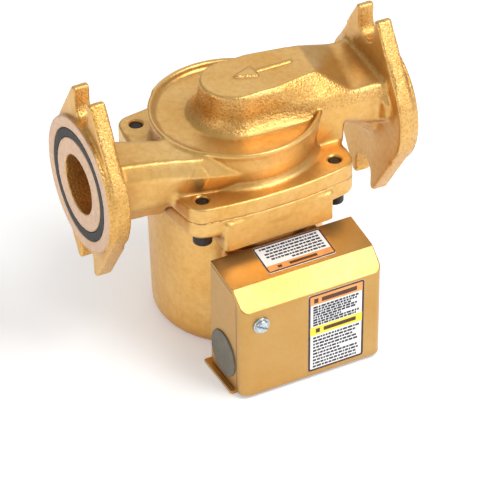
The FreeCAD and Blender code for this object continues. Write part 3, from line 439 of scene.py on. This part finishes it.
for node, mat in (
        ("inlet_flange_gasket", M_RUBBER), ("outlet_flange_gasket", M_RUBBER), ("casing_o_ring", M_ORING),
        ("motor_cap_screws", M_BLACK), ("stator_core", M_LAM), ("stator_windings", M_COPPER), ("rotor_can", M_STAIN),
        ("bearing_plate", M_STAIN), ("upper_bearing", M_CARBON), ("lower_bearing", M_CARBON), ("rotor_shaft", M_CERAM),
        ("rotor_core", M_LAM), ("rotor_sleeve", M_STAIN), ("rotor_end_rings", M_ALU), ("thrust_washers", M_CARBON),
        ("impeller", M_IMP), ("impeller_cover", M_IMP), ("impeller_clip", M_STAIN), ("box_mounting_screws", M_ZINC),
        ("conduit_plug_left", M_PLUG), ("conduit_plug_right", M_PLUG), ("cover_screw", M_ZINC), ("label_front", M_WHITE),
        ("label_top", M_WHITE), ("run_capacitor", M_ALU), ("capacitor_strap", M_ZINC), ("lead_grommet", M_ORING),
        ("ground_screw", M_GREEN), ("lead_wire_black", M_WBLK), ("lead_wire_white", M_WWHT), ("capacitor_leads", M_WBRN)):
    dress(node, mat)


# ---------------------------------------------------------------------------
# the sand-cast bodies: dense mesh, softened edges, grain in the geometry
# ---------------------------------------------------------------------------
def sstep(a, b, x):
    t = np.clip((x - a) / (b - a), 0, 1)
    return t * t * (3 - 2 * t)


def cast_casing():
    ob, raw, snap = remeshed("volute_casing", "volute_casing_cast", 0.62)
    me = ob.data
    co = snap / MM
    edges = edge_array(me)
    x, y, z = co[:, 0], co[:, 1], co[:, 2] - AXIS_Z
    rx = np.hypot(y, z)
    # machined: gasket face and groove, parting face, screw holes
    hard = (np.abs(x) > FACE_X - 5.2) & (rx < 29.5)
    hard |= np.abs(x) > FACE_X - 0.25
    hard |= (z < -9.6) & (np.abs(x) < 47.5)
    for sx in (-1, 1):
        for sy in (-1, 1):
            hard |= np.hypot(x - sx * 34.7, y - sy * 34.7) < 4.6
    soft = 1.0 - hard.astype(float)
    inner = (rx < 15.5) | ((np.hypot(x, y) < 33.2) & (z < 14.6))
    co = relax(co, edges, soft * 0.9, 4, 0.5)
    broad = sstep(33, 38, x) * (1 - sstep(71.4, 73.0, x)) * (1 - sstep(26.0, 30.0, np.abs(y)))
    left = (1 - sstep(-31.0, -27.0, x)) * sstep(-73.0, -71.4, x) * (1 - sstep(28.0, 31.0, np.abs(y)))
    broad = np.maximum(broad, left) * (1 - sstep(31.0, 33.5, z)) * (rx > 15.6)
    broad = broad * np.where(np.abs(x) < 50, sstep(-9.4, -7.0, z), sstep(-24.0, -20.0, z))
    roof = sstep(33, 38, x) * (1 - sstep(66, 69, x)) * (z > 29)
    co = relax(co, edges, np.clip(np.maximum(broad, roof), 0, 1) * soft, 34, 0.5)
    set_coords(me, co * MM)
    n = normals(me)
    # grain: strong on flange rims and upright walls, slight on the flats
    up = np.abs(n[:, 2])
    rim = sstep(69.5, 70.5, np.abs(x)) * (1 - sstep(0.75, 0.92, np.abs(n[:, 0])))
    boss_wall = ((np.hypot(np.clip(x, None, 0), y) < 26) & (z > 15.8)).astype(float) * (1 - sstep(0.55, 0.9, up))
    amp = 0.02 + 0.05 * np.maximum(rim, boss_wall)
    amp = np.maximum(amp, 0.07 * ((rx < 15.2) & (np.abs(x) > 58)))
    g = 0.7 * vnoise(co, 2.0, 3) + 0.3 * vnoise(co, 1.4, 7) + 0.5 * vnoise(co, 5.5, 11)
    lump = 0.10 * vnoise(co, 14.0, 5) * soft
    d = (g * amp - amp * 0.5 + np.where(inner, 0, lump - 0.06)) * soft
    co2 = co + n * d[:, None]
    set_coords(me, co2 * MM)
    smooth_shade(me)
    # finishes per face
    for m in (M_CAST, M_ROUGH, M_SMOOTH, M_MACH):
        me.materials.append(m)
    pc = np.empty(len(me.polygons) * 3)
    me.polygons.foreach_get("center", pc)
    pc = pc.reshape(-1, 3) / MM
    pc[:, 2] -= AXIS_Z
    pn = np.empty(len(me.polygons) * 3, dtype=np.float32)
    me.polygons.foreach_get("normal", pn)
    pn = pn.reshape(-1, 3)
    idx = np.zeros(len(pc), dtype=np.int32)
    prx = np.hypot(pc[:, 1], pc[:, 2])
    ax = np.abs(pc[:, 0])
    rough = (ax > 69.8) & (np.abs(pn[:, 0]) < 0.82)
    bw = (np.hypot(np.clip(pc[:, 0], None, 0), pc[:, 1]) < 27) & (pc[:, 2] > 15.6) & (np.abs(pn[:, 2]) < 0.8)
    idx[rough | bw | ((prx < 15.0) & (ax > 50))] = 1
    flat = (pn[:, 2] > 0.93) | ((ax > 69.8) & (np.abs(pn[:, 0]) > 0.9))
    idx[flat & ~rough] = 2
    mach = ((ax > FACE_X - 5.0) & (prx < 28.2) & (prx > 14.9)) | ((ax > FACE_X - 0.4) & (prx > 14.7)) | (pc[:, 2] < -9.7) & (ax < 46)
    idx[mach] = 3
    me.polygons.foreach_set("material_index", idx)
    me.update()
    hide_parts("volute_casing")
    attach(ob, "pump")
    return ob


def cast_housing():
    ob, raw, snap = remeshed("motor_housing", "motor_housing_cast", 0.7)
    me = ob.data
    co = snap / MM
    edges = edge_array(me)
    x, y, z = co[:, 0], co[:, 1], co[:, 2] - AXIS_Z
    hard = (z > -10.4) | (y < -41.2) & (z < -32.5)
    hard |= (np.hypot(x, y) < 38.9)
    soft = 1.0 - hard.astype(float)
    co = relax(co, edges, soft * 0.9, 4, 0.5)
    set_coords(me, co * MM)
    n = normals(me)
    outside = (np.hypot(x, y) > 39.6) | (z < CAN_IN)
    can = sstep(-22, -26, z)
    amp = np.where(outside, 0.05 - 0.028 * can, 0.0) * soft
    g = 0.6 * vnoise(co, 1.9, 23) + 0.4 * vnoise(co, 1.1, 27) + 0.5 * vnoise(co, 6.0, 29)
    d = g * amp - amp * 0.5
    set_coords(me, (co + n * d[:, None]) * MM)
    smooth_shade(me)
    me.materials.append(M_CAST)
    me.materials.append(M_SMOOTH)
    pc = np.empty(len(me.polygons) * 3)
    me.polygons.foreach_get("center", pc)
    pc = pc.reshape(-1, 3) / MM
    pc[:, 2] -= AXIS_Z
    idx = (pc[:, 2] < -24).astype(np.int32)
    me.polygons.foreach_set("material_index", idx)
    me.update()
    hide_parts("motor_housing")
    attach(ob, "pump")
    return ob


CAN_IN = -90.6
casing = cast_casing()
housing = cast_housing()


# ---------------------------------------------------------------------------
# sheet pieces of the terminal box: broken edges on every bend and cut
# ---------------------------------------------------------------------------
def sheet_piece(node, name, width_mm, body, mat):
    ob = welded_copy(node, name)
    me = ob.data
    bm = bmesh.new()
    bm.from_mesh(me)
    bmesh.ops.dissolve_limit(bm, angle_limit=math.radians(1.0), verts=bm.verts, edges=bm.edges)
    bm.to_mesh(me)
    bm.free()
    b = ob.modifiers.new("b", "BEVEL")
    b.width = width_mm * MM
    b.segments = 2
    b.limit_method = "ANGLE"
    b.angle_limit = math.radians(32)
    b.harden_normals = False
    b.use_clamp_overlap = True
    w = ob.modifiers.new("w", "WEIGHTED_NORMAL")
    w.keep_sharp = False
    w.weight = 60
    smooth_shade(me)
    bake(ob)
    ob.data.materials.clear()
    ob.data.materials.append(mat)
    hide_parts(node)
    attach(ob, body)
    return ob


cover = sheet_piece("terminal_box_cover", "terminal_box_cover_sheet", 0.28, "box_cover", M_SHEET)
base = sheet_piece("terminal_box_base", "terminal_box_base_sheet", 0.25, "pump", M_SHEET)


# ---------------------------------------------------------------------------
# labels: border, bands and greeked bars as thin printed layers
# ---------------------------------------------------------------------------
def layer(name, rects, to3d, lift_mm, mat, body="box_cover", radius=0.0):
    """flat printed shapes: rects are (u0, v0, u1, v1) in label millimetres"""
    bm = bmesh.new()
    for r in rects:
        u0, v0, u1, v1 = r[:4]
        rad = r[4] if len(r) > 4 else radius
        rad = min(rad, 0.49 * (u1 - u0), 0.49 * (v1 - v0))
        pts = []
        if rad > 0.01:
            for cx, cy, a0 in ((u1 - rad, v1 - rad, 0), (u0 + rad, v1 - rad, 90), (u0 + rad, v0 + rad, 180), (u1 - rad, v0 + rad, 270)):
                for k in range(5):
                    a = math.radians(a0 + 22.5 * k)
                    pts.append((cx + rad * math.cos(a), cy + rad * math.sin(a)))
        else:
            pts = [(u1, v1), (u0, v1), (u0, v0), (u1, v0)]
        low = [bm.verts.new(to3d(u, v, lift_mm - 0.03)) for u, v in pts]
        top = [bm.verts.new(to3d(u, v, lift_mm)) for u, v in pts]
        bm.faces.new(top)
        bm.faces.new(low[::-1])
        m = len(pts)
        for k in range(m):
            bm.faces.new((low[k], low[(k + 1) % m], top[(k + 1) % m], top[k]))
    bmesh.ops.recalc_face_normals(bm, faces=bm.faces)
    me = bpy.data.meshes.new(name)
    bm.to_mesh(me)
    bm.free()
    ob = bpy.data.objects.new(name, me)
    coll.objects.link(ob)
    me.materials.append(mat)
    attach(ob, body)
    return ob


def greeked(u0, u1, v_top, rows, pitch, h, seed, ragged=0.25):
    """rows of short plain dashes"""
    rng = np.random.RandomState(seed)
    out = []
    for i in range(rows):
        v = v_top - i * pitch
        u = u0
        end = u1 - (u1 - u0) * ragged * rng.rand() * (1.0 if i % 3 else 0.4)
        if i % 6 == 5:
            end = u0 + (u1 - u0) * 0.6
        while u < end - 0.8:
            w = 0.7 + 1.9 * rng.rand()
            w = min(w, end - u)
            out.append((u, v - h, u + w, v))
            u += w + 0.36
    return out


# front label, u along +X, v up
lo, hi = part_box("label_front")
LW, LH = (hi.x - lo.x) / MM, (hi.z - lo.z) / MM
LX, LZ, LY = lo.x / MM, lo.z / MM, lo.y / MM


def f3(u, v, lift):
    return Vector(((LX + u) * MM, (LY - lift) * MM, (LZ + v) * MM))


layer("label_front_border", [(0.05, 0.05, LW - 0.05, LH - 0.05, 1.2)], f3, 0.03, M_BORDER)
layer("label_front_field", [(1.2, 1.2, LW - 1.2, LH - 1.2, 0.5)], f3, 0.06, M_WHITE)
OB = 5.0
layer("label_front_band_upper", [(1.0, LH - 1.0 - OB, LW - 1.0, LH - 1.0, 0.4)], f3, 0.09, M_ORANGE)
YT, YB = LH * 0.580, LH * 0.468
layer("label_front_band_lower", [(1.0, YB, LW - 1.0, YT)], f3, 0.09, M_YELLOW)
layer("label_front_bars", [(3.0, LH - 5.0, 5.2, LH - 2.4), (7.0, LH - 4.9, LW - 4.0, LH - 2.5),
                           (4.0, YB + 1.4, 6.2, YT - 1.3), (8.2, YB + 1.5, LW - 4.4, YT - 1.4)], f3, 0.12, M_BAR)
rows = greeked(2.6, LW - 2.4, LH - OB - 1.9, 8, (LH - OB - 2.0 - YT) / 8.0, 1.15, 5, 0.15)
rows += greeked(2.6, LW - 2.4, YB - 1.0, 10, (YB - 2.2) / 10.0, 1.15, 9, 0.15)
layer("label_front_lines", rows, f3, 0.09, M_INK)

# roof label, u along -X, v towards the back: it reads from behind the box
lo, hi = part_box("label_top")
TX0, TX1 = lo.x / MM, hi.x / MM
ty0, ty1 = lo.y / MM, hi.y / MM
zf, zb = None, None
tv = coords(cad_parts["label_top"].data) / MM
front = tv[tv[:, 1] < ty0 + 0.6]
back = tv[tv[:, 1] > ty1 - 0.6]
P0 = Vector((TX0, front[:, 1].mean(), front[:, 2].max()))
P1 = Vector((TX0, back[:, 1].mean(), back[:, 2].max()))
dv = (P1 - P0).normalized()
nn = Vector((1, 0, 0)).cross(dv).normalized()
TW, TH = TX1 - TX0, (P1 - P0).length


def t3(u, v, lift):
    p = Vector((TX1 - u, P0.y, P0.z)) + dv * v + nn * lift
    return p * MM


layer("label_top_border", [(0.05, 0.05, TW - 0.05, TH - 0.05, 1.2)], t3, 0.03, M_BORDER)
layer("label_top_field", [(0.8, 0.8, TW - 0.8, TH - 0.8, 0.5)], t3, 0.06, M_WHITE)
layer("label_top_band", [(0.8, 0.8, TW - 0.8, 4.4, 0.4)], t3, 0.09, M_ORANGE)
layer("label_top_bars", [(9.0, 1.7, TW - 12.0, 3.3), (TW - 8.0, 1.7, TW - 5.8, 3.3)], t3, 0.12, M_BAR)
layer("label_top_lines", greeked(2.6, TW - 2.6, TH - 1.7, 6, (TH - 6.4) / 6.0, 1.05, 21, 0.1), t3, 0.09, M_INK)

# ---------------------------------------------------------------------------
# stage: pale floor, soft studio light, camera
# ---------------------------------------------------------------------------
bm = bmesh.new()
bmesh.ops.create_grid(bm, x_segments=8, y_segments=8, size=3.0)
me = bpy.data.meshes.new("stage_floor")
bm.to_mesh(me)
bm.free()
floor = bpy.data.objects.new("stage_floor", me)
floor.location = (0, 0, (FLOOR_Z - 0.02) * MM)
coll.objects.link(floor)
nf = Nodes("pale_floor")
nf.put("Base Color", nf.ramp(nf.noise(60.0, 2.0), [(0.3, (0.955, 0.955, 0.955)), (0.7, (0.97, 0.97, 0.97))]))
nf.put("Roughness", 0.7)
nf.bsdf.inputs["Emission Color"].default_value = (1.0, 1.0, 1.0, 1.0)
nf.bsdf.inputs["Emission Strength"].default_value = 0.24
nf.bsdf.inputs["Specular IOR Level"].default_value = 0.15
me.materials.append(nf.mat)

WORLD_BACK, WORLD_FRONT = 0.40, 0.55
world = bpy.data.worlds.new("studio")
scene.world = world
world.use_nodes = True
wn = world.node_tree
bg = wn.nodes["Background"]
tcw = wn.nodes.new("ShaderNodeTexCoord")
sep = wn.nodes.new("ShaderNodeSeparateXYZ")
wn.links.new(tcw.outputs["Generated"], sep.inputs[0])
wr = wn.nodes.new("ShaderNodeMapRange")
wr.inputs["From Min"].default_value = 0.75
wr.inputs["From Max"].default_value = -0.75
wr.inputs["To Min"].default_value = WORLD_BACK
wr.inputs["To Max"].default_value = WORLD_FRONT
wn.links.new(sep.outputs[1], wr.inputs["Value"])
bg.inputs[0].default_value = (1.0, 1.0, 1.0, 1.0)
wn.links.new(wr.outputs["Result"], bg.inputs[1])


def area(name, loc, target, size, power, color=(1, 1, 1), size_y=None):
    L = bpy.data.lights.new(name, "AREA")
    L.energy = power
    L.size = size
    if size_y:
        L.shape = "RECTANGLE"
        L.size_y = size_y
    L.color = color
    o = bpy.data.objects.new(name, L)
    o.location = loc
    d = (Vector(target) - Vector(loc)).normalized()
    o.rotation_euler = d.to_track_quat("-Z", "Y").to_euler()
    coll.objects.link(o)
    return o


HZ = AXIS_Z * MM
area("key", (0.40, -0.46, 0.86 + HZ), (0, 0, HZ), 0.55, 6.2, size_y=0.55)
area("front", (0.46, -1.05, 0.42 + HZ), (0, 0, HZ - 0.03), 0.7, 2.3, size_y=0.5)
area("fill_left", (-1.1, -0.2, 0.30 + HZ), (0, 0, HZ - 0.03), 0.8, 3.0)
area("overhead_back", (0.52, 1.00, 0.86 + HZ), (0, 0, HZ), 1.0, 2.0)

AZ, EL, DIST = math.radians(-27.38), math.radians(37.01), 1492.94
TGT = Vector((17.07, 17.61, AXIS_Z - 83.97))
ROLL = math.radians(-0.29)
back = Vector((math.sin(AZ) * math.cos(EL), -math.cos(AZ) * math.cos(EL), math.sin(EL)))
C = TGT + back * DIST
fwd = -back
right = fwd.cross(Vector((0, 0, 1))).normalized()
up = right.cross(fwd)
r2 = right * math.cos(ROLL) + up * math.sin(ROLL)
u2 = -right * math.sin(ROLL) + up * math.cos(ROLL)
cam_data = bpy.data.cameras.new("camera")
cam_data.sensor_fit = "HORIZONTAL"
cam_data.sensor_width = 36.0
cam_data.lens = 3025.81 / 500.0 * 36.0
cam_data.clip_start = 0.05
cam_data.clip_end = 20.0
cam = bpy.data.objects.new("camera", cam_data)
M = Matrix((
    (r2.x, u2.x, back.x, C.x * MM),
    (r2.y, u2.y, back.y, C.y * MM),
    (r2.z, u2.z, back.z, C.z * MM),
    (0, 0, 0, 1)))
cam.matrix_world = M
coll.objects.link(cam)
scene.camera = cam
